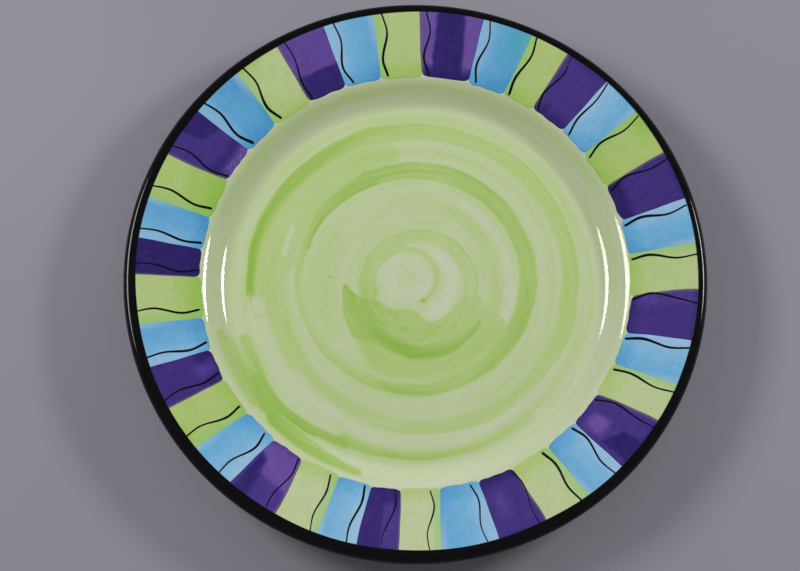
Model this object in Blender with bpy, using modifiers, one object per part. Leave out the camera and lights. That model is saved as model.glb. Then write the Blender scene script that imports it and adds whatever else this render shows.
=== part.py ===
"""Hand painted ceramic dinner plate, lying on its foot ring with the food side up.

One clay body with its foot ring turned in one piece, and the coats that are painted on it one
after another: 36 strokes side by side round the rim, a black band over the lip, a wash in the
well, and a glaze on the back that leaves the foot ring bare. Each coat is its own closed shell,
a little above the clay. Units are metres, +Z is up, and the origin is where the plate's axis
meets the surface that it stands on. +Y is the top of the painted pattern.
"""

import math

import bmesh
import bpy

# Driving dimensions
PLATE_RADIUS = 0.135  # over the black band
SHOULDER_RADIUS = 0.101  # where the rim starts
WELL_FLOOR_RADIUS = 0.086  # where the flat floor ends and the wall starts to rise
WELL_FLOOR_Z = 0.0076
SHOULDER_Z = 0.0165
RIM_SLOPE = 0.21  # rise over run of the rim, and of its underside
LIP_RADIUS = 0.00275  # half the rim's thickness
WALL_FOOT_RADIUS = 0.0882  # where the wall's underside meets the foot ring
WALL_BACK_RADIUS = 0.1045  # where the wall's underside meets the rim's
WALL_BACK_SLOPE = 0.30  # of the wall's underside where it leaves the foot ring
RECESS_Z = 0.0026  # underside of the floor inside the foot ring
FOOT_OUTER = 0.0860
FOOT_INNER = 0.0806
FOOT_EDGE = 0.0006  # bevel at both edges of the foot ring's flat

COAT_GAP = 0.0003  # from the clay to the underside of a coat
COAT_THICKNESS = 0.0004
BAND_INNER_RADIUS = 0.1301
EDGE_GAP = 0.0004  # between two coats that meet
STROKE_INNER_RADIUS = 0.1001
STROKE_CORNER = 0.0022  # radius of a stroke's two inner corners

STEPS_AROUND = 64
CURVE_STEPS = 6
LIP_STEPS = 8
STROKE_COLUMNS = 8
STROKE_ROWS = 2

# Widths of the painted strokes in degrees, clockwise seen from above. Each group is one purple,
# one blue and one green stroke, and the twelve groups fill the circle.
FIRST_STROKE_ANGLE = 0.8  # clockwise from +Y
STROKE_GROUPS = (
    (14, 10, 8),
    (11, 8.5, 10),
    (11, 9.5, 10),
    (11.5, 9.5, 8),
    (12, 9.5, 9.5),
    (11, 11, 8.5),
    (8.5, 9, 9),
    (11, 10, 10),
    (9.5, 9.5, 10.5),
    (8.5, 9, 10),
    (11.5, 10.5, 9.5),
    (11.5, 10.5, 9.5),
)
STROKE_COLOURS = ("purple", "blue", "green")

# Colour, roughness and metallic value of each material
FINISHES = {
    "fired_clay": ((0.62, 0.53, 0.42), 0.80, 0.0),
    "black_band": ((0.006, 0.006, 0.007), 0.10, 0.0),
    "purple": ((0.060, 0.028, 0.240), 0.15, 0.0),
    "blue": ((0.110, 0.360, 0.620), 0.15, 0.0),
    "green": ((0.330, 0.480, 0.130), 0.15, 0.0),
    "well_green": ((0.400, 0.500, 0.230), 0.15, 0.0),
    "back_glaze": ((0.640, 0.640, 0.580), 0.20, 0.0),
}


def clear_scene():
    for old in list(bpy.data.objects):
        bpy.data.objects.remove(old, do_unlink=True)


def make_material(name):
    colour, roughness, metallic = FINISHES[name]
    material = bpy.data.materials.new(name)
    material.use_nodes = True
    shader = material.node_tree.nodes["Principled BSDF"]
    shader.inputs["Base Color"].default_value = (*colour, 1.0)
    shader.inputs["Roughness"].default_value = roughness
    shader.inputs["Metallic"].default_value = metallic
    return material


# The turned outline is a path of (radius, z) points that runs clockwise: out along the food
# side, round the lip, and back in along the underside.


def rise(radius, inner, outer, low, high, inner_slope, outer_slope):
    """Height at this radius on the cubic that leaves and meets its two ends at the given slopes."""
    run = outer - inner
    t = (radius - inner) / run
    return (
        low * (2 * t**3 - 3 * t**2 + 1)
        + high * (3 * t**2 - 2 * t**3)
        + run * inner_slope * (t**3 - 2 * t**2 + t)
        + run * outer_slope * (t**3 - t**2)
    )


def lip_centre():
    """Centre of the round lip, which lies against the rim's top line."""
    radius = PLATE_RADIUS - COAT_GAP - COAT_THICKNESS - LIP_RADIUS
    line_z = SHOULDER_Z + RIM_SLOPE * (radius - SHOULDER_RADIUS)
    return radius, line_z - LIP_RADIUS * math.hypot(1, RIM_SLOPE)


def face_height(radius):
    """Height of the clay on the food side, from the centre to the start of the lip."""
    if radius <= WELL_FLOOR_RADIUS:
        return WELL_FLOOR_Z
    if radius >= SHOULDER_RADIUS:
        return SHOULDER_Z + RIM_SLOPE * (radius - SHOULDER_RADIUS)
    return rise(radius, WELL_FLOOR_RADIUS, SHOULDER_RADIUS, WELL_FLOOR_Z, SHOULDER_Z, 0, RIM_SLOPE)


def underside_height(radius):
    """Height of the clay under the wall, between the foot ring and the rim's underside."""
    meets_z = rim_underside_height(WALL_BACK_RADIUS)
    return rise(
        radius, WALL_FOOT_RADIUS, WALL_BACK_RADIUS, RECESS_Z, meets_z, WALL_BACK_SLOPE, RIM_SLOPE
    )


def rim_underside_height(radius):
    return face_height(radius) - 2 * LIP_RADIUS * math.hypot(1, RIM_SLOPE)


def spread(start, end, steps):
    return [start + (end - start) * i / steps for i in range(steps + 1)]


def wall_face(end=SHOULDER_RADIUS):
    """The food side of the wall, from the floor up to this radius."""
    radii = spread(WELL_FLOOR_RADIUS, end, CURVE_STEPS)
    return [(radius, face_height(radius)) for radius in radii]


def lip():
    """Round the lip, from the rim's top line to its underside."""
    centre_radius, centre_z = lip_centre()
    lean = math.atan(RIM_SLOPE)
    angles = spread(math.pi / 2 + lean, lean - math.pi / 2, LIP_STEPS)
    return [
        (centre_radius + LIP_RADIUS * math.cos(a), centre_z + LIP_RADIUS * math.sin(a))
        for a in angles
    ]


def wall_underside():
    radii = spread(WALL_BACK_RADIUS, WALL_FOOT_RADIUS, CURVE_STEPS)
    return [(radius, underside_height(radius)) for radius in radii]


def foot_ring():
    return [
        (FOOT_OUTER + FOOT_EDGE, FOOT_EDGE * 2),
        (FOOT_OUTER, 0),
        (FOOT_INNER, 0),
        (FOOT_INNER - FOOT_EDGE, FOOT_EDGE),
        (FOOT_INNER - 2 * FOOT_EDGE, RECESS_Z),
    ]


def body_outline():
    return [(0, WELL_FLOOR_Z), *wall_face(), *lip(), *wall_underside(), *foot_ring(), (0, RECESS_Z)]


def offset(path, distance):
    """The path moved this far out of the clay, which lies on its right-hand side."""
    moved = []
    for i, (radius, z) in enumerate(path):
        before = path[max(i - 1, 0)]
        after = path[min(i + 1, len(path) - 1)]
        run, climb = after[0] - before[0], after[1] - before[1]
        length = math.hypot(run, climb)
        moved.append((radius - climb / length * distance, z + run / length * distance))
    return moved


def turned(name, outline, material, collection, ring=False):
    """A solid of revolution. A ring's outline is a loop, and any other starts and ends on the axis."""
    mesh = bpy.data.meshes.new(name)
    points = [(radius, 0, z) for radius, z in outline]
    edges = [(i, i + 1) for i in range(len(points) - 1)]
    if ring:
        edges.append((len(points) - 1, 0))
    mesh.from_pydata(points, edges, [])
    mesh.materials.append(material)
    piece = bpy.data.objects.new(name, mesh)
    collection.objects.link(piece)
    screw = piece.modifiers.new("turn", "SCREW")
    screw.steps = STEPS_AROUND
    screw.render_steps = STEPS_AROUND
    screw.use_merge_vertices = True
    screw.merge_threshold = 0.00001
    screw.use_smooth_shade = True


def coat_outline(path):
    """Cross-section of a coat over this part of the clay's outline, split where it meets the axis."""
    outside = offset(path, COAT_GAP + COAT_THICKNESS)
    inside = offset(path, COAT_GAP)
    starts_on_axis = path[0][0] == 0
    return outside + inside[::-1] if starts_on_axis else inside[::-1] + outside


def make_body(material, collection):
    turned("plate_body", body_outline(), material, collection)


def make_rim_band(material, collection):
    path = [(BAND_INNER_RADIUS, face_height(BAND_INNER_RADIUS)), *lip()]
    turned("rim_band", coat_outline(path), material, collection, ring=True)


def make_well_wash(material, collection):
    path = [(0, WELL_FLOOR_Z), *wall_face(STROKE_INNER_RADIUS - EDGE_GAP)]
    turned("well_wash", coat_outline(path), material, collection)


def make_back_glaze(material, collection):
    """Two coats, one on each side of the bare foot ring."""
    start = lip()[-1]
    start = (start[0] - EDGE_GAP, start[1] - EDGE_GAP * RIM_SLOPE)
    path = [start, *wall_underside()]
    turned("back_glaze_outer", coat_outline(path), material, collection, ring=True)
    edge = FOOT_INNER - 2 * FOOT_EDGE - EDGE_GAP
    path = [(edge, RECESS_Z), (0, RECESS_Z)]
    turned("back_glaze_inner", coat_outline(path), material, collection)


def corner_cut(across):
    """How much shorter the stroke is at this place across it, from -1 to 1, to round its end."""
    start = 0.7
    past = max(0.0, (abs(across) - start) / (1 - start))
    return STROKE_CORNER * (1 - math.sqrt(1 - past**2))


def make_stroke(name, start, width, material, collection):
    """A patch of paint on the rim, from the shoulder out to the black band."""
    grid = bmesh.new()
    bmesh.ops.create_grid(grid, x_segments=STROKE_COLUMNS, y_segments=STROKE_ROWS, size=1)
    outer = BAND_INNER_RADIUS - EDGE_GAP
    middle = (STROKE_INNER_RADIUS + outer) / 2
    margin = math.degrees(EDGE_GAP / 2 / middle)
    length = math.hypot(1, RIM_SLOPE)
    for vertex in grid.verts:
        across, along = vertex.co.x, (vertex.co.y + 1) / 2
        inner = STROKE_INNER_RADIUS + corner_cut(across)
        angle = math.radians(start + margin + (width - 2 * margin) * (across + 1) / 2)
        radius = inner + (outer - inner) * along
        z = face_height(radius) + COAT_GAP / length
        radius -= COAT_GAP * RIM_SLOPE / length
        vertex.co = (radius * math.sin(angle), radius * math.cos(angle), z)
    mesh = bpy.data.meshes.new(name)
    grid.to_mesh(mesh)
    grid.free()
    mesh.materials.append(material)
    stroke = bpy.data.objects.new(name, mesh)
    collection.objects.link(stroke)
    shell = stroke.modifiers.new("coat", "SOLIDIFY")
    shell.thickness = COAT_THICKNESS
    shell.offset = 1


def make_strokes(materials, collection):
    angle = FIRST_STROKE_ANGLE
    number = 1
    for group in STROKE_GROUPS:
        for colour, width in zip(STROKE_COLOURS, group):
            name = f"stroke_{number:02d}_{colour}"
            make_stroke(name, angle, width, materials[colour], collection)
            angle += width
            number += 1


def main():
    clear_scene()
    collection = bpy.data.collections.new("painted_plate")
    bpy.context.scene.collection.children.link(collection)
    materials = {name: make_material(name) for name in FINISHES}
    make_body(materials["fired_clay"], collection)
    make_rim_band(materials["black_band"], collection)
    make_strokes(materials, collection)
    make_well_wash(materials["well_green"], collection)
    make_back_glaze(materials["back_glaze"], collection)


main()
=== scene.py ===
"""Looks of the hand painted ceramic dinner plate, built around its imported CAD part.

The clay body is turned to a fine outline, and each coat on it is its own thin closed shell: the
green wash in the well, 36 brush strokes round the rim with a black wavy line on each, the black
band over the lip, and the two coats of glaze on the back. Units are metres, and millimetres in
the materials. Angles run clockwise from +Y, seen from above, like the painted pattern.
"""

import math
import random
from collections import namedtuple

import bpy
from mathutils import Matrix, Vector


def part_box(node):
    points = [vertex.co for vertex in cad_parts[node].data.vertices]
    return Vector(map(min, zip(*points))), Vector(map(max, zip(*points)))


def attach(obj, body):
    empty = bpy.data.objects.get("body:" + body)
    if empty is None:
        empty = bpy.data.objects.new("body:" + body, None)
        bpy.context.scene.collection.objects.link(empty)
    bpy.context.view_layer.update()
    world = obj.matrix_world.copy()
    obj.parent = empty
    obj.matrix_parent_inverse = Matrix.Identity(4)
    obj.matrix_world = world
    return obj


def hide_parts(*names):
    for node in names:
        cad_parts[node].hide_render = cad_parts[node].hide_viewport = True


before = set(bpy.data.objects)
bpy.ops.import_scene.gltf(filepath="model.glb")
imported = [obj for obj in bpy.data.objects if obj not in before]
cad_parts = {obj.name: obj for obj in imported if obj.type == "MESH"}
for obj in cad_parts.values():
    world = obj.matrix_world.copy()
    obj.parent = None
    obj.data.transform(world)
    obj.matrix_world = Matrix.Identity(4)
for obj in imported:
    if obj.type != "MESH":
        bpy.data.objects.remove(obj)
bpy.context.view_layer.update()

MM = 0.001

# The clay, as in the CAD part
PLATE_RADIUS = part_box("rim_band")[1].x
CLAY_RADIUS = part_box("plate_body")[1].x
SHOULDER_RADIUS = 101 * MM
WELL_FLOOR_RADIUS = 86 * MM
WELL_FLOOR_Z = 7.6 * MM
SHOULDER_Z = 16.5 * MM
RIM_SLOPE = 0.21
LIP_RADIUS = 2.75 * MM
WALL_FOOT_RADIUS = 88.2 * MM
WALL_BACK_RADIUS = 104.5 * MM
WALL_BACK_SLOPE = 0.30
RECESS_Z = 2.6 * MM
FOOT_OUTER = 86.0 * MM
FOOT_INNER = 80.6 * MM

# Heights of the painted layers above the CAD clay, inside the room that its coats take
COAT_TOP = PLATE_RADIUS - CLAY_RADIUS  # top of the thickest coat
GROUND = 0.40 * MM  # surface of the glazed clay
SUNK = 0.05 * MM  # how deep the underside of a coat lies in the layer below
WASH_TOP = GROUND + 0.05 * MM
STROKE_TOP = {"purple": GROUND + 0.15 * MM, "blue": GROUND + 0.12 * MM, "green": GROUND + 0.09 * MM}
LINE_TOP = GROUND + 0.22 * MM

BACK_GLAZE = 0.2 * MM  # thickness of the glaze on the back

ON_AXIS = 1e-7  # a point nearer the axis than this lies on it

# How finely the pieces are meshed
STEPS_AROUND = 360
STROKE_COLUMNS = 28
STROKE_ROWS = 40
LINE_ROWS = 56


# -------------------- outline of the clay


def rise(radius, inner, outer, low, high, inner_slope, outer_slope):
    """Height at this radius on the cubic that leaves and meets its two ends at the given slopes."""
    run = outer - inner
    t = (radius - inner) / run
    return (
        low * (2 * t**3 - 3 * t**2 + 1)
        + high * (3 * t**2 - 2 * t**3)
        + run * inner_slope * (t**3 - 2 * t**2 + t)
        + run * outer_slope * (t**3 - t**2)
    )


def face_height(radius):
    """Height of the CAD clay on the food side, from the centre to the start of the lip."""
    if radius <= WELL_FLOOR_RADIUS:
        return WELL_FLOOR_Z
    if radius >= SHOULDER_RADIUS:
        return SHOULDER_Z + RIM_SLOPE * (radius - SHOULDER_RADIUS)
    return rise(radius, WELL_FLOOR_RADIUS, SHOULDER_RADIUS, WELL_FLOOR_Z, SHOULDER_Z, 0, RIM_SLOPE)


def rim_underside_height(radius):
    return face_height(radius) - 2 * LIP_RADIUS * math.hypot(1, RIM_SLOPE)


def wall_underside_height(radius):
    meets_z = rim_underside_height(WALL_BACK_RADIUS)
    return rise(
        radius, WALL_FOOT_RADIUS, WALL_BACK_RADIUS, RECESS_Z, meets_z, WALL_BACK_SLOPE, RIM_SLOPE
    )


def slope_of(height, radius):
    step = 0.01 * MM
    return (height(radius + step) - height(radius - step)) / (2 * step)


def on_face(radius, lift):
    """Point (radius, z) this far above the food side of the clay."""
    slope = slope_of(face_height, radius)
    length = math.hypot(1, slope)
    return radius - lift * slope / length, face_height(radius) + lift / length


def on_underside(height, radius, lift):
    """Point (radius, z) this far below the underside of the clay."""
    slope = slope_of(height, radius)
    length = math.hypot(1, slope)
    return radius + lift * slope / length, height(radius) - lift / length


def on_lip(turn, lift):
    """Point on the round lip: turn 0 is at the rim's top line, and 1 at its underside."""
    centre_radius = CLAY_RADIUS - LIP_RADIUS
    line_z = SHOULDER_Z + RIM_SLOPE * (centre_radius - SHOULDER_RADIUS)
    centre_z = line_z - LIP_RADIUS * math.hypot(1, RIM_SLOPE)
    angle = math.pi / 2 + math.atan(RIM_SLOPE) - math.pi * turn
    reach = LIP_RADIUS + lift
    return centre_radius + reach * math.cos(angle), centre_z + reach * math.sin(angle)


def lip_start():
    """Radius where the rim's top line meets the round lip."""
    return CLAY_RADIUS - LIP_RADIUS - LIP_RADIUS * math.sin(math.atan(RIM_SLOPE))


def spread(start, end, steps):
    return [start + (end - start) * i / steps for i in range(steps + 1)]


def hand_made(radius, angle, z):
    """Where this point really lies: beyond the foot, the turned clay is slightly uneven."""
    away = max(0.0, radius - WALL_FOOT_RADIUS) / (PLATE_RADIUS - WALL_FOOT_RADIUS)
    share = min(1.0, away) ** 2
    z -= share * 0.10 * MM * (1 + math.sin(2 * angle + 0.6))
    radius -= share * 0.07 * MM * (1 + math.sin(3 * angle + 2.1))
    return Vector((radius * math.sin(angle), radius * math.cos(angle), z))


def put(point, angle):
    """Where a point (radius, z) of an outline lies when it is turned to this angle."""
    radius, z = point
    return hand_made(radius, angle, z)


# -------------------- meshes


def new_piece(name, verts, faces, material, nodes=(), uv=None):
    """A smooth shaded mesh that rides on the plate and stands for these CAD nodes."""
    mesh = bpy.data.meshes.new(name)
    mesh.from_pydata([tuple(v) for v in verts], [], faces)
    if uv:
        layer = mesh.uv_layers.new(name="stroke")
        for loop in mesh.loops:
            layer.data[loop.index].uv = uv[loop.vertex_index]
    mesh.validate()
    mesh.update()
    mesh.shade_smooth()
    mesh.set_sharp_from_angle(angle=math.radians(50))
    mesh.materials.append(material)
    piece = bpy.data.objects.new(name, mesh)
    bpy.context.scene.collection.objects.link(piece)
    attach(piece, "root")
    if nodes:
        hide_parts(*nodes)


def lathe(name, outline_at, material, nodes, ring):
    """A turned piece. outline_at(angle) lists its (radius, z) points, clockwise in cross-section,
    with the same count at every angle. A ring's outline is a loop; any other starts and ends on
    the axis."""
    verts = []
    rows = []
    for i in range(STEPS_AROUND):
        angle = 2 * math.pi * i / STEPS_AROUND
        row = []
        for j, point in enumerate(outline_at(angle)):
            if point[0] < ON_AXIS and rows:
                row.append(rows[0][j])
            else:
                row.append(len(verts))
                verts.append(put(point, angle))
        rows.append(row)
    count = len(rows[0])
    faces = []
    for i, row in enumerate(rows):
        after = rows[(i + 1) % STEPS_AROUND]
        for j in range(count if ring else count - 1):
            k = (j + 1) % count
            corners = (row[j], row[k], after[k], after[j])
            faces.append(tuple(dict.fromkeys(corners)))
    new_piece(name, verts, faces, material, nodes)


def shell(name, tops, undersides, material, nodes=(), uv=None):
    """A closed sheet of paint from two grids of points, rows of equal length, top and underside."""
    rows, columns = len(tops), len(tops[0])
    verts = [p for row in tops for p in row] + [p for row in undersides for p in row]
    below = rows * columns
    faces = []
    for i in range(rows - 1):
        for j in range(columns - 1):
            a, b = i * columns + j, i * columns + j + 1
            c, d = b + columns, a + columns
            faces.append((a, b, c, d))
            faces.append((below + d, below + c, below + b, below + a))
    edge = list(range(columns))
    edge += [i * columns + columns - 1 for i in range(1, rows)]
    edge += [(rows - 1) * columns + j for j in range(columns - 2, -1, -1)]
    edge += [i * columns for i in range(rows - 2, 0, -1)]
    for a, b in zip(edge, edge[1:] + edge[:1]):
        faces.append((b, a, below + a, below + b))
    new_piece(name, verts, faces, material, nodes, uv and uv + uv)


def wave(seed, count, lowest=1):
    """A smooth closed random curve: a function of an angle, from about -1 to 1."""
    draw = random.Random(seed)
    parts = [(lowest + k, draw.uniform(0, 2 * math.pi), draw.uniform(0.5, 1)) for k in range(count)]
    size = math.sqrt(sum(weight**2 for _, _, weight in parts))
    return lambda angle: sum(w * math.sin(n * angle + phase) for n, phase, w in parts) / size


def eased(t):
    t = min(1.0, max(0.0, t))
    return t * t * (3 - 2 * t)


# -------------------- shader nodes


class Value:
    """A number in a node tree. Arithmetic on it adds Math nodes."""

    def __init__(self, socket):
        self.socket = socket
        self.tree = socket.id_data

    def math(self, operation, *terms):
        node = self.tree.nodes.new("ShaderNodeMath")
        node.operation = operation
        for i, term in enumerate((self, *terms)):
            connect(term, node.inputs[i])
        return Value(node.outputs[0])

    def __add__(self, other):
        return self.math("ADD", other)

    def __sub__(self, other):
        return self.math("SUBTRACT", other)

    def __mul__(self, other):
        return self.math("MULTIPLY", other)

    def __truediv__(self, other):
        return self.math("DIVIDE", other)

    def size(self):
        return self.math("ABSOLUTE")

    def at_least(self, other):
        return self.math("MAXIMUM", other)

    def at_most(self, other):
        return self.math("MINIMUM", other)

    def between(self, low, high):
        return self.at_least(low).at_most(high)

    def step(self, start, end):
        """Smooth step from 0 at start to 1 at end, which may be the lower one."""
        node = self.tree.nodes.new("ShaderNodeMapRange")
        node.interpolation_type = "SMOOTHSTEP"
        connect(self, node.inputs["Value"])
        connect(start, node.inputs["From Min"])
        connect(end, node.inputs["From Max"])
        return Value(node.outputs["Result"])

    def towards(self, other, share):
        """This value, moved by a share of the way to the other."""
        node = self.tree.nodes.new("ShaderNodeMix")
        connect(share, node.inputs[0])
        connect(self, node.inputs[2])
        connect(other, node.inputs[3])
        return Value(node.outputs[0])

    def colours(self, stops):
        """Colour ramp through (place, colour) stops."""
        node = self.tree.nodes.new("ShaderNodeValToRGB")
        elements = node.color_ramp.elements
        for element, (place, colour) in zip(elements, (stops[0], stops[-1])):
            element.position = place
            element.color = (*colour, 1)
        for place, colour in stops[1:-1]:
            elements.new(place).color = (*colour, 1)
        connect(self, node.inputs["Fac"])
        return Value(node.outputs["Color"])


def connect(term, socket):
    if isinstance(term, Value):
        socket.id_data.links.new(term.socket, socket)
    else:
        socket.default_value = term


def tint(under, over, share):
    """Colour mix: share of the over colour on the under colour."""
    tree = next(term.tree for term in (under, over, share) if isinstance(term, Value))
    node = tree.nodes.new("ShaderNodeMix")
    node.data_type = "RGBA"
    connect(share, node.inputs[0])
    connect(under if isinstance(under, Value) else (*under, 1), node.inputs[6])
    connect(over if isinstance(over, Value) else (*over, 1), node.inputs[7])
    return Value(node.outputs[2])


def vector(tree, x, y, z=0.0):
    node = tree.nodes.new("ShaderNodeCombineXYZ")
    for i, term in enumerate((x, y, z)):
        connect(term, node.inputs[i])
    return Value(node.outputs[0])


def noise(place, scale=1.0, detail=2.0, roughness=0.5):
    """Noise from 0 to 1 at a place; the scale counts lumps for each unit of length."""
    node = place.tree.nodes.new("ShaderNodeTexNoise")
    connect(place, node.inputs["Vector"])
    node.inputs["Scale"].default_value = scale
    node.inputs["Detail"].default_value = detail
    node.inputs["Roughness"].default_value = roughness
    return Value(node.outputs[0])


def position_mm(tree):
    """The point's x, y and z on the plate, in millimetres."""
    place = tree.nodes.new("ShaderNodeTexCoord")
    split = tree.nodes.new("ShaderNodeSeparateXYZ")
    tree.links.new(place.outputs["Object"], split.inputs[0])
    return [Value(out) * (1 / MM) for out in split.outputs]


def distance_from_axis(x, y):
    return (x * x + y * y).math("SQRT")


def places_mm(tree):
    """The point's x, y and z, the three as one vector, and its distance from the axis."""
    x, y, z = position_mm(tree)
    return x, y, z, vector(tree, x, y, z), distance_from_axis(x, y)


def new_material(name, roughness):
    """An empty glazed material, its shader node and its node tree."""
    material = bpy.data.materials.new(name)
    material.use_nodes = True
    shader = material.node_tree.nodes["Principled BSDF"]
    shader.inputs["Roughness"].default_value = roughness
    shader.inputs["IOR"].default_value = 1.5
    return material, shader, material.node_tree


def bump(shader, height, depth_mm, strength=1.0):
    """Relief from a height of 0 to 1 that stands for this many millimetres."""
    tree = shader.id_data
    node = tree.nodes.new("ShaderNodeBump")
    node.inputs["Strength"].default_value = strength
    node.inputs["Distance"].default_value = depth_mm * MM
    connect(height, node.inputs["Height"])
    tree.links.new(node.outputs[0], shader.inputs["Normal"])


PAINT_TO_LOOK = 1.4  # how much paler a paint is than it looks under the studio light


def paint(red, green, blue):
    """A paint's own linear colour, from the 8-bit tone that it shows under the studio light."""
    tone = [level / 255 for level in (red, green, blue)]
    linear = [t / 12.92 if t <= 0.04045 else ((t + 0.055) / 1.055) ** 2.4 for t in tone]
    return tuple(min(0.9, level * PAINT_TO_LOOK) for level in linear)


# -------------------- the wash and its swirl

Pull = namedtuple("Pull", "centre turn radius half strength edge")


def pull(turn, radius, half, strength, edge, centre=(0, 0)):
    """One pull of the brush: clockwise from the first to the last angle in degrees, about a centre
    in millimetres, with its radius, half width and strength at both ends. edge is the softness of
    its outer and its inner side. One number stands for two that are the same."""
    given = (radius, half, strength, edge)
    pairs = [term if isinstance(term, tuple) else (term, term) for term in given]
    return Pull(centre, turn, *pairs)


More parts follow.
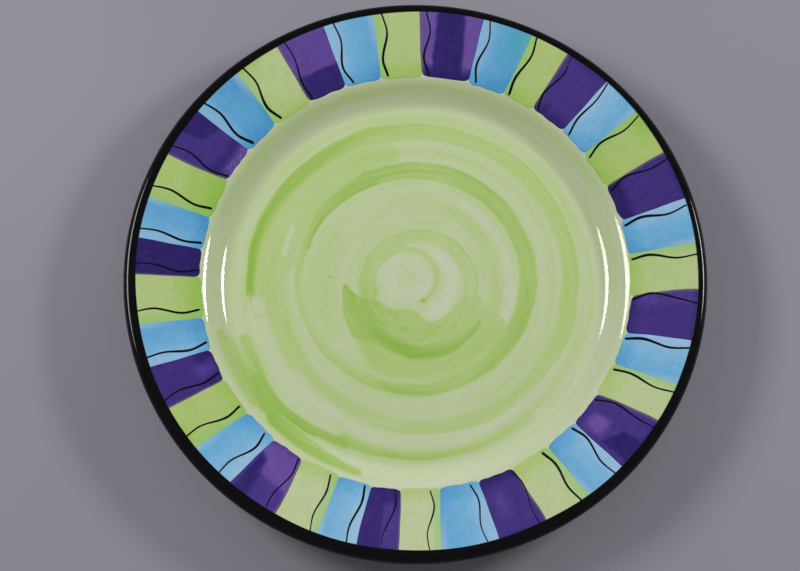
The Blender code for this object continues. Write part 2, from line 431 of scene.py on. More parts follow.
SWIRL = (
    # thin wash on the wall, a darker band at the top of the far wall that is painted shade, and
    # pale places on the floor
    pull((0, 360), 93, 8, 0.30, 3),
    # painted shade: a stronger wash across the top of the far wall, darkening it where the wall
    # turns away from the lights
    pull((-70, 60), 95.5, (2.2, 2.0), (0.48, 0.42), 2.0),
    pull((95, 200), (94, 95), (6.5, 5.5), (0.20, 0.18), 3),
    pull((240, 300), (72, 70), (9, 8), (0.60, 0.56), 3),
    pull((212, 262), (76, 75), (5, 4.5), (0.24, 0.22), 2),
    pull((262, 400), (84, 83), 2, 0.36, 2.5),
    pull((110, 205), (75.8, 75.2), 2.2, (0.27, 0.24), 1.2),
    # thin outer rings
    pull((-50, 150), (82.4, 81.4), (1.5, 1.3), 0.45, (0.6, 2.5)),
    pull((140, 204.5), (82.8, 81.8), (1.9, 2.4), (0.56, 0.78), (1.0, 1.4)),
    pull((10, 150), (65, 63.5), 1.3, (0.44, 0.42), (0.8, 2)),
    # inside the strong ring
    pull((240, 300), 45, 6, (0.48, 0.46), 2.5),
    pull((-25, 112), (38.4, 38), (2.6, 3.4), (0.38, 0.54), (1.2, 1.8)),
    pull((30, 125), (44.6, 44.2), (1.8, 2.4), (0.26, 0.22), 1.2),
    pull((255, 310), 38, 1.4, 0.43, (1, 1.5)),
    pull((-90, 20), 31, 2.5, (0.38, 0.42), (1, 2)),
    # the long second ring: a comma at the left, once round, and a thin tail inside its own start
    pull((284, 345), (75.6, 76.0), (4.2, 4.0), (0.60, 0.64), (0.8, 1.6)),
    pull((345, 450), (76.0, 72.6), 4.0, (0.64, 0.58), (0.7, 1.2)),
    pull((450, 540), (72.6, 69.0), (4.0, 3.2), 0.58, (0.9, 1.6)),
    pull((540, 617), (69.0, 62.6), (3.2, 3.0), (0.58, 0.57), (0.8, 2.2)),
    pull((257, 290), (62.6, 59.5), 3.0, (0.52, 0.42), (0.9, 2.5)),
    pull((0, 90), (79.0, 75.9), 0.5, (0.68, 0.64), (0.4, 0.6)),
    pull((0, 120), (73.0, 69.6), 0.5, (0.66, 0.62), 0.6),
    # a second pass inside it at the top left, its bristles leaving one after another
    pull((282, 345), (64, 62.5), (6, 5), (0.52, 0.54), 1.5),
    pull((276, 350), (69.3, 69.2), (1.6, 1.8), (0.54, 0.52), 0.8),
    pull((279, 352), (66.4, 66.2), (2.0, 1.8), 0.56, (0.9, 0.8)),
    pull((292, 351), (63.4, 62.8), (1.6, 2.0), (0.60, 0.55), 0.8),
    pull((283, 296), (63.2, 64.2), 0.9, 0.26, 0.8),
    pull((267, 322), (77.2, 76.6), (1.5, 3.2), (1.0, 0.80), (0.6, 2.2)),
    pull((322, 350), (76.6, 76.0), (3.0, 3.6), (0.80, 0.66), (1.0, 2.2)),
    # the strong ring
    pull((20, 120), 52.2, 4.2, 0.75, (0.7, 0.9), (0.4, 2.9)),
    pull((120, 180), (52.2, 53.8), (4.2, 2.8), (0.75, 0.74), (0.7, 1.6), (0.4, 2.9)),
    pull((180, 250), (53.8, 54.8), (2.8, 2.0), (0.74, 0.62), (0.8, 2.2), (0.4, 2.9)),
    pull((250, 290), (54.8, 54.2), (2.0, 1.7), (0.62, 0.68), (0.5, 1.6), (0.4, 2.9)),
    pull((290, 335), (54.2, 53.8), (1.7, 4.2), (0.68, 0.78), (1.2, 0.6), (0.4, 2.9)),
    pull((335, 380), (53.8, 52.2), 4.2, (0.78, 0.75), (0.7, 0.8), (0.4, 2.9)),
    pull((286, 338), (53.2, 50.8), (0.8, 1.6), (0.84, 0.88), (2.6, 0.5), (0.4, 2.9)),
    pull((330, 400), (56.6, 56.2), 0.5, (0.84, 0.80), (0.4, 0.8), (0.4, 2.9)),
    # the bright stroke at the lower left, on the wall, which ends in two tips
    pull((220, 251), (88.3, 91.2), (5.6, 3.8), (0.88, 0.64), (1.4, 0.8)),
    pull((214, 251), (87.6, 83.4), (3.6, 2.8), (0.92, 0.70), (1.6, 0.8)),
    pull((232, 254.5), (93.7, 93.4), (1.9, 1.8), 0.66, (0.7, 1.0)),
    pull((196.5, 224), (94.6, 91.0), (2.2, 5.2), (0.72, 0.86), (1.2, 0.9)),
    pull((203, 238), (83.6, 86.4), (2.0, 2.6), (0.88, 0.86), (1.3, 1.0)),
    pull((210, 224), (87.0, 88.0), (0.3, 0.5), (0.46, 0.60), 0.5),
    pull((207, 215), (88.6, 87.6), (1.2, 0.4), (0.36, 0.46), 0.8),
    # inner rings
    pull((-108, 125), (24.2, 24.6), 3.4, (0.56, 0.50), (0.8, 1.2), (1.5, -1.0)),
    pull((-60, 132), (27.4, 27.7), (0.4, 0.5), (0.64, 0.72), (0.4, 0.7), (1.5, -1.0)),
    pull((-18, 50), (18.7, 17.8), (0.9, 3.2), (0.20, 0.14), (0.8, 1.0)),
    pull((50, 135), (17.8, 16.0), (3.2, 4.2), (0.14, 0.13), 1.0),
    pull((135, 176), (16.0, 16.8), (4.2, 1.6), (0.13, 0.24), (1.0, 1.2)),
    pull((-112, -40), (18.6, 15.6), (4.4, 2.2), (0.66, 0.54), (1.8, 0.7), (-4.5, 2.6)),
    pull((-60, 142), (14.4, 14.3), (1.6, 1.2), (0.50, 0.60), (0.8, 0.6), (-4.5, 2.6)),
    pull((0, 360), 8.2, 4.2, 0.19, (1.0, 2.0), (-4.5, 2.6)),
    pull((0, 360), 2.0, 2.0, 0.34, 2, (-3.5, 1.5)),
    # the broad fan below the centre, with its pointed tip at the left
    pull((127, 206), 42, (7, 6.5), 0.62, (1.5, 1.8), (2, 2)),
    pull((204, 226), (42, 38.5), (6.5, 3.5), (0.62, 0.60), (1.5, 1.4), (2, 2)),
    pull((110, 186), (24.8, 24.0), (7.0, 8.6), (0.60, 0.70), (1.2, 1.0), (2.5, -3)),
    pull((178, 226), (26.5, 25.4), (11.5, 8.8), (0.68, 0.76), (2.0, 1.0), (-4.5, 2.6)),
    pull((222, 262), (27.0, 28.6), (10.2, 1.2), (0.76, 0.90), (0.9, 0.6), (-4.5, 2.6)),
    pull((120, 188), (31.4, 30.6), (1.3, 3.0), (0.78, 0.92), (0.9, 3.0), (2.5, -3)),
    pull((188, 252), (30.6, 27.6), (3.0, 2.6), (0.92, 0.86), (1.8, 3.0), (2.5, -3)),
    pull((-70, 95), (3.6, 4.0), 0.35, (0.66, 0.68), (0.4, 0.5), (37.2, -19.6)),
    pull((121, 138), (45.4, 48.6), 0.4, 0.70, (0.4, 0.6), (2, 2)),
    pull((55, 240), 0.7, 0.7, 0.88, 0.4, (3.8, -8.3)),
    pull((0, 360), 0.3, 0.5, 0.75, 0.4, (-40, 3.6)),
    # the thin run of wash that dripped from the comma's end
    pull((258, 267), (76.0, 77.2), (0.4, 0.7), (0.60, 0.62), 0.4),
    pull((80, 285), (2.4, 2.6), 0.45, 0.60, 0.4, (-72.4, -13.6)),
    pull((294.5, 326), (58.2, 65.5), 0.5, (0.60, 0.64), 0.4, (-16, -38)),
)


def pull_group():
    """Node group that lays one pull of the brush over the wash below it."""
    tree = bpy.data.node_groups.new("brush_pull", "ShaderNodeTree")
    names = (
        "X", "Y", "Under", "Rough", "Centre X", "Centre Y", "Middle", "Span", "Radius A",
        "Radius B", "Half A", "Half B", "Strength A", "Strength B", "Outer Edge", "Inner Edge",
    )
    for name in names:
        tree.interface.new_socket(name, in_out="INPUT", socket_type="NodeSocketFloat")
    tree.interface.new_socket("Wash", in_out="OUTPUT", socket_type="NodeSocketFloat")
    given = tree.nodes.new("NodeGroupInput")
    term = {name: Value(given.outputs[name]) for name in names}
    # Too little to see, it makes the pulls wait for each other: Cycles can't hold them all at once.
    order = term["Under"] * 1e-9
    dx = term["X"] - term["Centre X"] + order
    dy = term["Y"] - term["Centre Y"] + order
    reach = distance_from_axis(dx, dy)
    angle = dx.math("ARCTAN2", dy) * math.degrees(1)
    off_middle = (angle - term["Middle"]).math("WRAP", 180.0, -180.0)
    along = (off_middle / term["Span"] + 0.5).between(0.0, 1.0)
    line = term["Radius A"].towards(term["Radius B"], along)
    half = term["Half A"].towards(term["Half B"], along)
    strength = term["Strength A"].towards(term["Strength B"], along)
    past = (off_middle.size() - term["Span"] * 0.5).at_least(0.0) * line * math.radians(1)
    across = reach - line
    away = distance_from_axis(across, past) - half + term["Rough"]
    edge = term["Inner Edge"].towards(term["Outer Edge"], across.step(half * -0.4, half * 0.4))
    cover = away.step(edge, edge * -1.0)
    result = term["Under"].towards(strength, cover)
    out = tree.nodes.new("NodeGroupOutput")
    tree.links.new(result.socket, out.inputs["Wash"])
    return tree


def swirl(tree, x, y, rough):
    """How strong the wash is at this place, from 0 to 1, after every pull of the brush."""
    group = pull_group()
    wash = 0.34
    for brush in SWIRL:
        node = tree.nodes.new("ShaderNodeGroup")
        node.node_tree = group
        first, last = brush.turn
        settings = (
            x, y, wash, rough, *brush.centre, (first + last) / 2, last - first, *brush.radius,
            *brush.half, *brush.strength, *brush.edge,
        )
        for term, socket in zip(settings, node.inputs):
            connect(float(term) if not isinstance(term, Value) else term, socket)
        wash = Value(node.outputs["Wash"])
    return wash


def wash_material():
    material, shader, tree = new_material("green_wash", roughness=0.07)
    x, y, z = position_mm(tree)
    place = vector(tree, x, y)
    drift_x = (noise(place, 0.045, 2) - 0.5) * 3.0
    drift_y = (noise(vector(tree, y, x, 7.0), 0.045, 2) - 0.5) * 3.0
    x, y = x + drift_x, y + drift_y
    reach = distance_from_axis(x, y)
    # fine rings left by the bristles: quick across the ring, slow along it
    around = reach.at_least(4.0) * 0.6
    ring = vector(tree, x / around, y / around, reach * 0.8)
    streak = noise(ring, 1.0, 4, 0.6) - 0.5
    broad = noise(vector(tree, x / around, y / around, reach * 0.22 + 30.0), 1.0, 2) - 0.5
    blot = noise(vector(tree, x, y, 3.0), 0.12, 3) - 0.5
    rough = streak * 1.8 + blot * 0.8
    wash = swirl(tree, x, y, rough)
    wash = wash + streak * 0.42 + broad * 0.34 + blot * 0.08
    # from the thinnest wash to the thickest
    stops = (
        (0.05, paint(190, 195, 170)),
        (0.65, paint(165, 187, 115)),
        (0.95, paint(135, 173, 70)),
    )
    connect(wash.colours(stops), shader.inputs["Base Color"])
    ripple = noise(vector(tree, x, y, z), 0.5, 2)
    bump(shader, wash * 0.5 + ripple * 0.5, 0.03)
    return material


def make_wash():
    edge_wave = wave(5, 7, 3)

    def outline_at(angle):
        edge = 100.6 * MM + 0.35 * MM * edge_wave(angle)
        floor = spread(6 * MM, WELL_FLOOR_RADIUS - 2 * MM, 10)
        wall = spread(WELL_FLOOR_RADIUS, edge - 0.6 * MM, 24)
        radii = [0.0, 2 * MM, *floor, *wall, edge]
        lifts = [WASH_TOP] * (len(radii) - 1) + [GROUND]
        top = [on_face(r, lift) for r, lift in zip(radii, lifts)]
        under = [on_face(r, GROUND - SUNK) for r in reversed(radii)]
        return [(0.0, top[0][1]), *top[1:], *under[:-1], (0.0, under[-1][1])]

    lathe("green_wash", outline_at, wash_material(), ["well_wash"], ring=False)


# -------------------- the strokes round the rim

# Tones of each paint from its thinnest film to its thickest
PAINTS = {
    "purple": (paint(104, 77, 153), paint(68, 47, 126), paint(34, 21, 90)),
    "blue": (paint(140, 182, 212), paint(101, 163, 202), paint(70, 141, 189)),
    "green": (paint(181, 193, 150), paint(161, 184, 105), paint(136, 178, 70)),
}

# How much thicker the film is on a stroke's right side than on its left, from 0 to 1
THICKER_TO_THE_RIGHT = {"purple": 0.0, "blue": 0.5, "green": 0.0}

# A patch that the brush passed over again: from left to right across the stroke and from its
# outer end to its inner end, both 0 to 1, with its film from 0 (thinnest) to 1 (thickest). lean
# is how far its left and its right side move over, from the outer end to the inner end, and slant
# how much nearer the inner end its two ends lie on the right than on the left. soft is how
# gradually it starts and stops.
Patch = namedtuple(
    "Patch", "left right outer inner film lean slant soft", defaults=((0, 0), 0, 0.04)
)


def end_patch(place, film):
    """The inner end of a stroke, where the brush stopped and the paint gathered."""
    return Patch(-1, 2, place, 2, film, soft=0.10)


def start_patch(film):
    """The outer end of a stroke, where the full brush was set down."""
    return Patch(-1, 2, -1, 0.06, film, soft=0.06)


# The usual film on each stroke, clockwise from the first one
FILM = (
    0.10, 0.62, 0.41, 0.58, 0.28, 0.50, 0.68, 0.38, 0.26, 0.62, 0.29, 0.13,
    0.58, 0.31, 0.14, 0.62, 0.38, 0.02, 0.50, 0.22, 0.08, 0.50, 0.32, 0.45,
    0.70, 0.45, 0.35, 0.97, 0.56, 0.45, 0.62, 0.74, 0.24, 0.26, 0.42, 0.33,
)
# The patches on the strokes with these numbers
PATCHES = {
    1: (Patch(0.30, 0.70, -1, 2, 0.92, (-0.08, 0.12)), end_patch(0.86, 0.98)),
    4: (start_patch(0.78), end_patch(0.84, 0.88)),
    6: (Patch(-1, 0.5, -1, 0.15, 0.9, (0, 0.2), soft=0.14),),
    7: (start_patch(0.85), end_patch(0.80, 1.05)),
    10: (Patch(-1, 0.3, -1, 2, 0.45, soft=0.1), start_patch(0.8), end_patch(0.88, 0.8)),
    13: (
        start_patch(0.8),
        Patch(0.46, 0.88, -1, 0.36, 0.95, (0.05, 0), 0.4),
        Patch(0.46, 0.84, 0.58, 0.86, 0.05, soft=0.10),
        end_patch(0.96, 0.75),
    ),
    16: (
        start_patch(0.88),
        Patch(0.5, 0.8, 0.35, 0.7, 0.38, soft=0.14),
        end_patch(0.85, 0.88),
    ),
    19: (
        Patch(0.42, 2, -1, 2, 0.82, (0.1, 0), soft=0.08),
        start_patch(0.85),
        end_patch(0.75, 0.85),
    ),
    22: (
        Patch(-1, 2, 0.45, 2, 0.14, (0, 0), 0.1, 0.06),
        Patch(0.58, 0.90, -1, 0.58, 0.90, (0.22, 0.08), 0.4, 0.06),
        end_patch(0.97, 0.55),
    ),
    24: (
        Patch(0.15, 0.55, -1, 0.12, 0.95, soft=0.12),
        Patch(-1, 2, 0.2, 0.5, 0.52, soft=0.14),
    ),
    25: (
        start_patch(0.85),
        Patch(-1, 0.25, 0.75, 2, 0.9, soft=0.14),
        Patch(0.72, 2, 0.75, 2, 0.98, soft=0.14),
        Patch(0.35, 0.65, 0.65, 0.88, 0.42, soft=0.14),
    ),
    27: (Patch(-1, 2, 0.6, 2, 0.55, soft=0.14),),
    28: (start_patch(1.0), end_patch(0.80, 1.05)),
    30: (Patch(-1, 2, 0.5, 2, 0.72, (0, 0), -0.2, 0.14),),
    31: (
        Patch(0.52, 2, -1, 0.34, 0.92, (0.12, 0), 0.3),
        Patch(-1, 2, 0.70, 0.84, 0.85, soft=0.06),
        Patch(0.25, 2, 0.87, 2, 0.30, soft=0.06),
    ),
    32: (Patch(0.15, 0.85, 0.35, 2, 0.72, soft=0.14),),
    33: (Patch(-1, 0.6, -1, 0.08, 0.7, soft=0.12),),
    34: (Patch(-1, 2, 0.61, 2, 0.88, soft=0.03),),
}
DRY_END = 31  # the stroke that ends in the marks of a nearly dry brush
TURQUOISE_START = 2  # the blue stroke that begins with some green in the brush

# How far each stroke's right side lies to the right of its place in the CAD part, in degrees, at
# the outer end and at the inner end. The brush was turned a little by hand on every stroke.
RIGHT_SIDES = (
    (0.0, 0.0), (0.6, 0.1), (0.5, 0.4), (0.0, 0.2), (0.3, 0.4), (0.2, 0.7),
    (0.5, 0.7), (0.6, 0.8), (0.0, 1.7), (0.1, 1.1), (0.3, 0.6), (0.1, 1.5),
    (0.7, 0.0), (0.0, 0.1), (0.0, 0.9), (-0.4, 0.0), (0.3, -0.8), (-0.1, 0.2),
    (0.4, 0.0), (-0.4, -0.3), (-0.7, 0.7), (0.0, -0.5), (0.0, -0.5), (-0.5, 0.0),
    (-0.1, 0.0), (-0.3, -0.5), (-0.4, -0.3), (-0.5, -0.5), (-0.5, -0.4), (-1.1, 0.5),
    (-0.9, -0.2), (0.2, -0.4), (0.4, 0.8), (0.0, 0.5), (0.2, -0.3), (-0.1, 0.8),
)
STROKE_OUTER = 131.2 * MM  # under the black band
INNER_END = {"purple": 99.8 * MM, "blue": 99.4 * MM, "green": 98.9 * MM}
STROKE_MIDDLE_MM = 115.0  # radius at which a stroke's width is taken
STROKE_LENGTH_MM = 31.0
STROKE_CORNER = 3.0 * MM  # how far the two inner corners are rounded off
CORNER_START = 0.56  # where the rounding starts, from the middle of the stroke to its side
THIN_EDGE_MM = 0.9  # width of the edge where the paint thins out
SIDE_WANDER = 0.0012  # how far the sides wander, in radians
RAGGED = {"purple": 0.22 * MM, "blue": 0.16 * MM, "green": 0.16 * MM}  # the same at the inner end
# How far the left and the right side are tucked under or laid over the neighbours, in radians
TUCKED = {"purple": (0.0022, 0.0022), "blue": (0.012, 0.0022), "green": (0.012, 0.012)}


def stroke_angles(node):
    """First and last angle of a CAD stroke, in radians."""
    points = [v.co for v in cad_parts[node].data.vertices]
    middle = sum((Vector((p.x, p.y)).normalized() for p in points), Vector((0, 0)))
    axis = math.atan2(middle.x, middle.y)
    turns = [math.remainder(math.atan2(p.x, p.y) - axis, 2 * math.pi) for p in points]
    return axis + min(turns), axis + max(turns)


def name_parts(node):
    """Number and colour of a stroke, from the name of its CAD node."""
    _, number, colour = node.split("_")
    return int(number), colour


def side_shift(number, along):
    """How far the right side of this stroke is turned from its CAD place, in radians."""
    outer, inner = RIGHT_SIDES[(number - 1) % len(RIGHT_SIDES)]
    return math.radians(outer + (inner - outer) * along**2)


def stroke_sides(number, colour, first, last):
    """The angles of a stroke's left and right side, as a function of the place along it."""
    left_wave, right_wave = wave(200 + number, 4), wave(300 + number, 4)
    tucked_left, tucked_right = TUCKED[colour]

    def sides_at(along):
        left = first + side_shift(number - 1, along) - tucked_left
        right = last + side_shift(number, along) + tucked_right
        wander = left_wave(along * 3), right_wave(along * 3)
        return left + SIDE_WANDER * wander[0], right + SIDE_WANDER * wander[1]

    return sides_at


def stroke_end(number, colour):
    """The radius of a stroke's inner end, as a function of the place across it."""
    end_wave = wave(400 + number, 4)
    inner_end = INNER_END[colour] + random.Random(100 + number).uniform(-0.3, 0.3) * MM

    def end_at(across):
        past = max(0.0, (abs(2 * across - 1) - CORNER_START) / (1 - CORNER_START))
        rounded = STROKE_CORNER * (1 - math.sqrt(1 - past**2))
        return inner_end + rounded + RAGGED[colour] * end_wave(across * math.pi * 1.4)

    return end_at


def patch_cover(patch, across, along, side_edge):
    """How much of this place the patch covers, from 0 to 1."""
    soft = patch.soft
    left, right = (across + side_edge - along * lean for lean in patch.lean)
    end = along + side_edge - (across - 0.5) * patch.slant
    inside = left.step(patch.left - soft, patch.left + soft)
    inside = inside * right.step(patch.right + soft, patch.right - soft)
    inside = inside * end.step(patch.outer - soft, patch.outer + soft)
    return inside * end.step(patch.inner + soft, patch.inner - soft)


def stroke_film(tree, number, colour, across, along, width_mm):
    """Thickness of the paint film over one stroke, from 0 to 1."""
    across_mm, along_mm = across * width_mm, along * STROKE_LENGTH_MM
    wander = noise(vector(tree, across_mm, along_mm, number * 9.0), 0.25, 3) - 0.5
    side_edge = wander * 0.07
    film = (across - 0.45) * THICKER_TO_THE_RIGHT[colour] + FILM[number - 1]
    for patch in PATCHES.get(number, ()):
        film = film.towards(patch.film, patch_cover(patch, across, along, side_edge))
    if colour != "purple":
        film = film + (along + side_edge).step(0.66, 0.95) * 0.30
    lengthwise = vector(tree, across_mm * 1.5, along_mm * 0.10, number * 5.0)
    crosswise = vector(tree, across_mm * 0.12, along_mm * 1.5, number * 7.0)
    film = film + (noise(lengthwise, 1.0, 3, 0.6) - 0.5) * 0.42
    film = film + (noise(crosswise, 1.0, 3, 0.6) - 0.5) * 0.34
    film = film + wander * 0.30
    # the film pools in a fine line along both sides and round the inner end
    side = (across - 0.5).size().step(0.44, 0.49)
    return film + side.at_least(along.step(0.95, 0.985)) * 0.10


def place_on_stroke(tree):
    """The point's place across and along its stroke, both 0 to 1."""
    uv = tree.nodes.new("ShaderNodeUVMap")
    uv.uv_map = "stroke"
    split = tree.nodes.new("ShaderNodeSeparateXYZ")
    tree.links.new(uv.outputs[0], split.inputs[0])
    return Value(split.outputs[0]), Value(split.outputs[1])


def stroke_material(name, number, colour, width_mm):
    material, shader, tree = new_material(name, roughness=0.09)
    across, along = place_on_stroke(tree)
    film = stroke_film(tree, number, colour, across, along, width_mm)
    thin, middle, thick = PAINTS[colour]
    shade = film.colours(((0.0, thin), (0.5, middle), (1.0, thick)))
    if colour == "purple":
        # its left side is laid thinly over the green next to it
        overlap = across.step(0.085, 0.03) * 0.75
        shade = tint(shade, paint(104, 92, 104), overlap)
    if number == DRY_END:
        bristles = noise(vector(tree, across * width_mm * 1.3, along * 26.0, 3.0), 1.0, 3, 0.6)
        dry = bristles.step(0.48, 0.70) * along.step(0.82, 0.94)
        shade = tint(shade, paint(150, 128, 180), dry * 0.6)
    if colour == "blue":
        # paler down both sides, and greenish where the next green runs into it
        right_side = across.step(0.80, 0.95) * along.step(0.7, 0.1) * 0.55
        shade = tint(shade, paint(158, 184, 224), right_side)
        left_side = across.step(0.40, 0.14) * along.step(0.95, 0.5) * 0.36
        shade = tint(shade, paint(158, 184, 214), left_side)
        shade = tint(shade, paint(118, 184, 148), across.step(0.94, 0.99) * 0.6)
    if colour == "green":
        # a little of the blue next to it shows through on its left side
        shade = tint(shade, paint(130, 184, 98), across.step(0.26, 0.12) * 0.45)
    if number == TURQUOISE_START:
        start = across.step(0.25, 0.9) * along.step(0.8, 0.2) * 0.8
        shade = tint(shade, paint(72, 158, 176), start)
    connect(shade, shader.inputs["Base Color"])
    bump(shader, film, 0.02)
    return material


def make_stroke(node):
    """One brush stroke: a thin sheet with worn edges and round inner corners, over its CAD node."""
    number, colour = name_parts(node)
    first, last = stroke_angles(node)
    sides_at, end_at = stroke_sides(number, colour, first, last), stroke_end(number, colour)
    tops, undersides, uv = [], [], []
    for i in range(STROKE_ROWS + 1):
        along = i / STROKE_ROWS
        left, right = sides_at(along)
        top_row, under_row = [], []
        for j in range(STROKE_COLUMNS + 1):
            across = j / STROKE_COLUMNS
            inner = end_at(across)
            radius = STROKE_OUTER + (inner - STROKE_OUTER) * along
            angle = left + (right - left) * across
            side_mm = min(across, 1 - across) * (right - left) * radius / MM
            thick = eased(min(side_mm, (radius - inner) / MM) / THIN_EDGE_MM)
            lift = GROUND + (STROKE_TOP[colour] - GROUND) * thick
            top_row.append(put(on_face(radius, lift), angle))
            under_row.append(put(on_face(radius, GROUND - SUNK), angle))
            uv.append((across, along))
        tops.append(top_row)
        undersides.append(under_row)
    name = f"paint_{number:02d}_{colour}"
    material = stroke_material(name, number, colour, (last - first) * STROKE_MIDDLE_MM)
    shell(name, tops, undersides, material, [node], uv)


# -------------------- the fine black lines

# Each wavy line's place, in degrees from its stroke's left side: at the outer start, where it
# swings out, where it swings back, and at the round inner end. The last number is how thick it is
# drawn, against the usual line.
LINES = (
    (1.5, 2.5, 1.3, 3.0, 0.9), (1.0, 1.8, 0.6, 1.7, 0.95), (1.3, 2.0, 0.8, 1.2, 1.2),
    (1.5, 2.3, 0.9, 2.0, 0.85), (0.1, 0.8, 0.6, 1.9, 0.95), (1.0, 1.6, 0.5, 1.8, 1.0),
    (2.0, 2.2, 1.1, 2.9, 0.9), (1.6, 2.3, 1.1, 2.0, 1.2), (2.8, 3.0, 1.4, 2.0, 1.1),
    (3.3, 2.2, 1.2, 3.1, 0.95), (1.3, 2.1, 1.4, 2.4, 1.25), (1.6, 2.1, 1.2, 1.8, 1.05),
    (2.0, 2.1, 1.6, 3.4, 0.85), (2.3, 2.4, 0.6, 1.2, 1.0), (1.5, 2.0, 1.0, 1.9, 1.15),
    (1.6, 1.7, 0.7, 1.8, 0.65), (1.6, 2.1, 1.0, 2.0, 0.75), (2.3, 2.6, 0.7, 1.4, 0.7),
    (3.5, 3.3, 1.5, 1.9, 0.65), (2.0, 2.3, 1.0, 1.3, 1.0), (0.5, 1.4, 0.8, 1.6, 0.85),
    (1.6, 2.1, 1.1, 2.0, 0.7), (2.6, 2.8, 1.1, 2.1, 0.95), (2.6, 2.9, 1.3, 1.9, 1.0),
    (1.2, 2.2, 1.5, 2.5, 0.9), (1.6, 1.9, 0.9, 1.9, 1.1), (2.2, 2.6, 1.0, 1.5, 1.05),
    (2.0, 2.2, 1.0, 1.9, 0.8), (1.0, 1.4, 0.4, 0.9, 1.1), (1.5, 2.2, 1.1, 1.8, 1.15),
    (1.0, 1.8, 0.7, 1.8, 0.9), (0.9, 1.6, 0.5, 1.8, 1.25), (1.5, 1.9, 0.3, 1.5, 1.2),
    (2.3, 2.6, 1.5, 2.0, 0.8), (1.8, 2.3, 0.9, 2.5, 1.0), (1.6, 2.3, 0.6, 1.4, 1.15),
)
LINE_RADII = (130.6 * MM, 121 * MM, 109 * MM, 100.6 * MM)
LINE_HALF_START = 0.36 * MM
LINE_HALF_END = 0.54 * MM
LINE_TIP = 0.02 * MM  # half width that is left at the very tip
LINE_PROFILE = (-1, -0.8, -0.4, 0, 0.4, 0.8, 1)  # places across the line, from side to side


def through(places, values, place):
    """Value at a place on the smooth curve through these points, whose places run downwards."""
    k = next((i for i in range(len(places) - 2) if place > places[i + 1]), len(places) - 2)

    def slope(i):
        low, high = max(i - 1, 0), min(i + 1, len(places) - 1)
        return (values[high] - values[low]) / (places[high] - places[low])

    ends = places[k], places[k + 1], values[k], values[k + 1]
    return rise(place, *ends, slope(k), slope(k + 1))


def line_centres(node, degrees):
    """(radius, angle) of the points along the middle of a stroke's line."""
    first, _ = stroke_angles(node)
    turns = [first + math.radians(d) for d in degrees]
    radii = spread(LINE_RADII[0], LINE_RADII[-1], LINE_ROWS)
    return [(radius, through(LINE_RADII, turns, radius)) for radius in radii]


def lengths_along(centres):
    """Length of the line from its start to each of its points."""
    lengths = [0.0]
    for before, after in zip(centres, centres[1:]):
        aside = (after[1] - before[1]) * before[0]
        lengths.append(lengths[-1] + math.hypot(after[0] - before[0], aside))
    return lengths


def line_half_width(i, left_to_go, thickness, unevenness):
    """Half the line's width at point i, this far from its round tip."""
    half = LINE_HALF_START + (LINE_HALF_END - LINE_HALF_START) * eased(i / LINE_ROWS * 1.3)
    half *= thickness * (1 + 0.06 * unevenness(i / LINE_ROWS * 2))
    if left_to_go < half:
        half = math.sqrt(max(LINE_TIP**2, half**2 - (half - left_to_go) ** 2))
    return half


def make_line(node, degrees, thickness, material):
    """A wavy ribbon of thick black, thin where the brush starts and round where it lifts."""
    number, colour = name_parts(node)
    side = STROKE_TOP[colour] + 0.015 * MM
    unevenness = wave(500 + number, 5, 3)
    centres = line_centres(node, degrees)
    lengths = lengths_along(centres)
    tops, undersides = [], []
    for i, (radius, angle) in enumerate(centres):
        half = line_half_width(i, lengths[-1] - lengths[i], thickness, unevenness)
        back, ahead = centres[max(i - 1, 0)], centres[min(i + 1, LINE_ROWS)]
        along = Vector(((ahead[1] - back[1]) * radius, ahead[0] - back[0])).normalized()
        top_row, under_row = [], []
        for k in LINE_PROFILE:
            out = along.x * half * k
            turn = angle - along.y * half * k / radius
            lift = side + (LINE_TOP - side) * math.sqrt(1 - k * k)
            top_row.append(put(on_face(radius + out, lift), turn))
            under_row.append(put(on_face(radius + out, GROUND), turn))
        tops.append(top_row)
        undersides.append(under_row)
    shell(f"black_line_{number:02d}", tops, undersides, material)


# -------------------- the black band and the back


def black_material():
    material, shader, tree = new_material("black_glaze", roughness=0.08)
    x, y, z, place, reach = places_mm(tree)
    turned = vector(tree, x / reach * 14.0, y / reach * 14.0, (reach + z) * 1.6)
    brushed = noise(turned, 1.0, 4, 0.6)
    cloud = noise(place, 0.15, 3)
    film = brushed * 0.6 + cloud * 0.4
    stops = ((0.3, paint(1, 1, 2)), (0.7, paint(4, 4, 6)))
    connect(film.colours(stops), shader.inputs["Base Color"])
    shader.inputs["Specular IOR Level"].default_value = 0.25
    bump(shader, brushed * 0.6 + noise(place, 0.8, 2) * 0.4, 0.02)
    return material


def make_band(material):
    """The black band: from its hand-brushed inner edge, over the lip, to the rim's underside."""
    inner_wave, under_wave = wave(11, 14, 3), wave(12, 9, 2)
    lean = math.radians(50)

    def outline_at(angle):
        inner = 129.9 * MM + 0.9 * MM * math.cos(angle - lean) + 0.14 * MM * inner_wave(angle)
        last_turn = 0.97 + 0.02 * under_wave(angle)
        top = [on_face(inner, GROUND + 0.12 * MM)]
        for radius in spread(inner, lip_start(), 4)[1:-1]:
            top.append(on_face(radius, COAT_TOP - 0.02 * MM))
        top += [on_lip(turn, COAT_TOP) for turn in spread(0, last_turn - 0.03, 22)]
        top.append(on_lip(last_turn, GROUND + 0.06 * MM))
        under = [on_lip(turn, GROUND - SUNK) for turn in spread(last_turn, 0, 10)]
        under += [on_face(radius, GROUND - SUNK) for radius in spread(lip_start(), inner, 2)[1:]]
        return top + under

    lathe("black_rim", outline_at, material, ["rim_band"], ring=True)


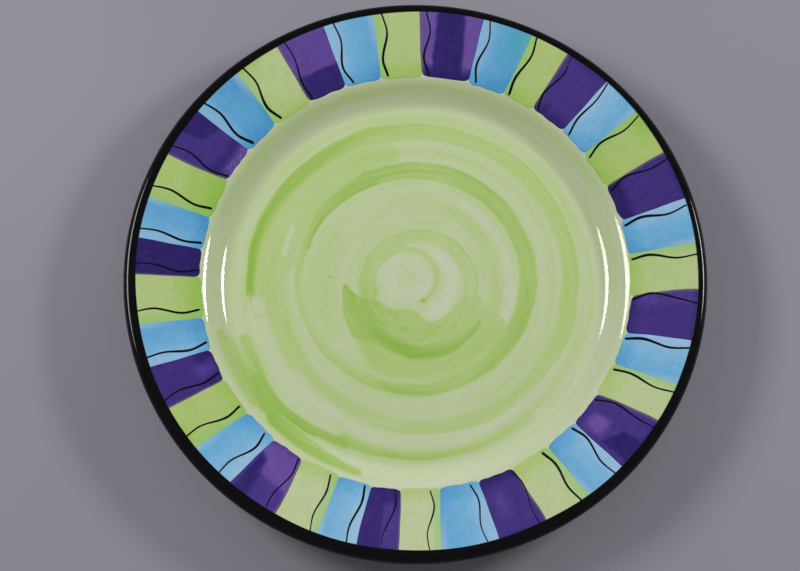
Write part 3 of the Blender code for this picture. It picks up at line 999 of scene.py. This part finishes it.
def back_glaze_material():
    material, shader, tree = new_material("back_glaze", roughness=0.12)
    x, y, z, place, reach = places_mm(tree)
    ring = vector(tree, x * 0.03, y * 0.03, reach * 0.5 + z * 0.5)
    film = noise(ring, 1.0, 3) * 0.5 + noise(place, 0.08, 3) * 0.5
    shade = film.colours(((0.3, paint(184, 184, 168)), (0.7, paint(196, 196, 184))))
    specks = noise(place, 1.3, 2).step(0.74, 0.80)
    shade = tint(shade, paint(150, 138, 112), specks * 0.45)
    connect(shade, shader.inputs["Base Color"])
    bump(shader, noise(ring, 1.0, 3) * 0.6 + noise(place, 0.6, 2) * 0.4, 0.05)
    return material


def make_back_glaze():
    material = back_glaze_material()
    foot_wave, recess_wave = wave(21, 9, 2), wave(22, 9, 2)

    def outer_outline(angle):
        """From the rim's underside, where it meets the band, in to just above the foot ring."""
        start = CLAY_RADIUS - LIP_RADIUS + 0.2 * MM
        end = WALL_FOOT_RADIUS + 0.25 * MM + 0.18 * MM * foot_wave(angle)
        path = [(rim_underside_height, r) for r in spread(start, WALL_BACK_RADIUS, 10)]
        path += [(wall_underside_height, r) for r in spread(WALL_BACK_RADIUS, end, 24)[1:]]
        lifts = [GROUND, *[GROUND + BACK_GLAZE] * (len(path) - 2), GROUND]
        outer = [on_underside(h, r, lift) for (h, r), lift in zip(path, lifts)]
        inner = [on_underside(h, r, GROUND - SUNK) for h, r in reversed(path)]
        return outer + inner

    def inner_outline(angle):
        """The recess inside the foot ring."""
        edge = FOOT_INNER - 2.2 * MM + 0.25 * MM * recess_wave(angle)
        top = RECESS_Z - GROUND + SUNK
        low = RECESS_Z - GROUND - BACK_GLAZE
        radii = spread(edge - 1.0 * MM, 2 * MM, 12)
        return [
            (0.0, top),
            (edge, top),
            (edge, RECESS_Z - GROUND - 0.01 * MM),
            *[(r, low) for r in radii],
            (0.0, low),
        ]

    for name, outline_at, node, ring in (
        ("back_glaze_rim", outer_outline, "back_glaze_outer", True),
        ("back_glaze_recess", inner_outline, "back_glaze_inner", False),
    ):
        lathe(name, outline_at, material, [node], ring)


# -------------------- the clay


def clay_material():
    """Off-white slip under clear glaze, and bare buff clay on the foot ring."""
    material, shader, tree = new_material("fired_clay", roughness=0.1)
    _, _, z, place, reach = places_mm(tree)
    grain = noise(place, 2.2, 4, 0.65)
    cloud = noise(place, 0.12, 3)
    slip = cloud.colours(((0.3, paint(186, 188, 172)), (0.7, paint(194, 196, 182))))
    clay = (grain * 0.6 + cloud * 0.4).colours(
        ((0.25, (0.45, 0.35, 0.25)), (0.5, (0.62, 0.52, 0.40)), (0.75, (0.72, 0.63, 0.50)))
    )
    specks = noise(place, 1.6, 1).step(0.70, 0.76)
    clay = tint(clay, (0.22, 0.14, 0.09), specks * 0.8)
    edge = (noise(place, 0.5, 2) - 0.5) * 0.5
    bare = (reach + edge).step(77.9, 78.3) * (reach + edge).step(89.0, 88.6) * z.step(5.5, 5.0)
    connect(tint(slip, clay, bare), shader.inputs["Base Color"])
    connect(bare * 0.68 + 0.10, shader.inputs["Roughness"])
    bump(shader, grain * bare + cloud * 0.1, 0.08)
    return material


def make_clay():
    """The whole clay body: food side, lip, underside and foot ring in one turned outline."""
    face = [(0.0, WELL_FLOOR_Z + GROUND)]
    face += [on_face(r, GROUND) for r in (20 * MM, 50 * MM, 80 * MM)]
    face += [on_face(r, GROUND) for r in spread(WELL_FLOOR_RADIUS, SHOULDER_RADIUS, 20)]
    face += [on_face(r, GROUND) for r in (108 * MM, 118 * MM)]
    edge = [on_lip(turn, GROUND) for turn in spread(0, 1, 20)]
    radii = spread(118 * MM, WALL_BACK_RADIUS, 2)
    back = [on_underside(rim_underside_height, r, GROUND) for r in radii]
    radii = spread(WALL_BACK_RADIUS, WALL_FOOT_RADIUS, 20)[1:]
    back += [on_underside(wall_underside_height, r, GROUND) for r in radii]
    foot = [(FOOT_OUTER + 1.0 * MM, 1.3 * MM)]
    foot += bevel(FOOT_OUTER, +1)
    foot += reversed(bevel(FOOT_INNER, -1))
    foot += [(FOOT_INNER - 1.0 * MM, 1.6 * MM), (FOOT_INNER - 1.6 * MM, RECESS_Z - GROUND)]
    outline = [*face, *edge, *back, *foot, (0.0, RECESS_Z - GROUND)]
    lathe("clay_body", lambda _: outline, clay_material(), ["plate_body"], ring=False)


def bevel(radius, side):
    """Round edge of the foot ring's flat, from above down to it."""
    size = 0.6 * MM
    angles = spread(0, math.pi / 2, 5)
    return [
        (radius + side * size * (math.cos(a) - 0.3), size * (1 - math.sin(a))) for a in angles
    ]


# -------------------- studio


def make_floor():
    """A plain pale floor that the plate lies on."""
    size = 6.0
    bpy.ops.mesh.primitive_plane_add(size=size, location=(0, 0, -0.0002))
    floor = bpy.context.object
    floor.name = "studio_floor"
    material, shader, tree = new_material("studio_floor", roughness=0.7)
    cloud = noise(vector(tree, *position_mm(tree)), 0.004, 2)
    shade = cloud.colours(((0.3, (0.30, 0.29, 0.34)), (0.7, (0.33, 0.32, 0.37))))
    connect(shade, shader.inputs["Base Color"])
    floor.data.materials.append(material)


def make_softbox(name, towards, distance, width, length, power):
    """A long oval soft light, its length along Y, that faces the plate."""
    light = bpy.data.lights.new(name, "AREA")
    light.shape = "ELLIPSE"
    light.size, light.size_y = width, length
    light.energy = power
    lamp = bpy.data.objects.new(name, light)
    direction = Vector(towards).normalized()
    lamp.location = direction * distance
    across = Vector((0, 1, 0)).cross(direction).normalized()
    axes = Matrix((across, direction.cross(across), direction)).transposed()
    lamp.rotation_mode = "QUATERNION"
    lamp.rotation_quaternion = axes.to_quaternion()
    bpy.context.scene.collection.objects.link(lamp)


def light_studio():
    world = bpy.data.worlds.new("studio")
    bpy.context.scene.world = world
    world.use_nodes = True
    background = world.node_tree.nodes["Background"]
    background.inputs["Color"].default_value = (0.97, 0.97, 1.0, 1)
    background.inputs["Strength"].default_value = 0.23
    make_softbox("left_softbox", (-0.746, 0.29, 0.60), 1.2, 0.34, 0.60, 7.2)
    make_softbox("right_softbox", (0.80, 0.305, 0.52), 1.2, 0.19, 0.42, 6.5)


def make_camera():
    """Nearly face on to the plate, from a little towards the bottom of the pattern."""
    camera = bpy.data.objects.new("camera", bpy.data.cameras.new("camera"))
    bpy.context.scene.collection.objects.link(camera)
    camera.data.sensor_width = 36
    camera.data.lens = 126.6
    elevation = math.radians(73.2)
    back = Vector((0, -math.cos(elevation), math.sin(elevation)))
    camera.location = Vector((-7.1, -4.0, 18.5)) * MM + back * 1.3
    camera.rotation_mode = "QUATERNION"
    camera.rotation_quaternion = (-back).to_track_quat("-Z", "Y")
    bpy.context.scene.camera = camera


def main():
    bpy.context.scene.view_settings.view_transform = "Standard"
    make_camera()
    light_studio()
    make_floor()
    black = black_material()
    make_clay()
    make_wash()
    strokes = sorted(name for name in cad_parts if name.startswith("stroke_"))
    for node, (*degrees, thickness) in zip(strokes, LINES):
        make_stroke(node)
        make_line(node, degrees, thickness, black)
    make_band(black)
    make_back_glaze()


main()
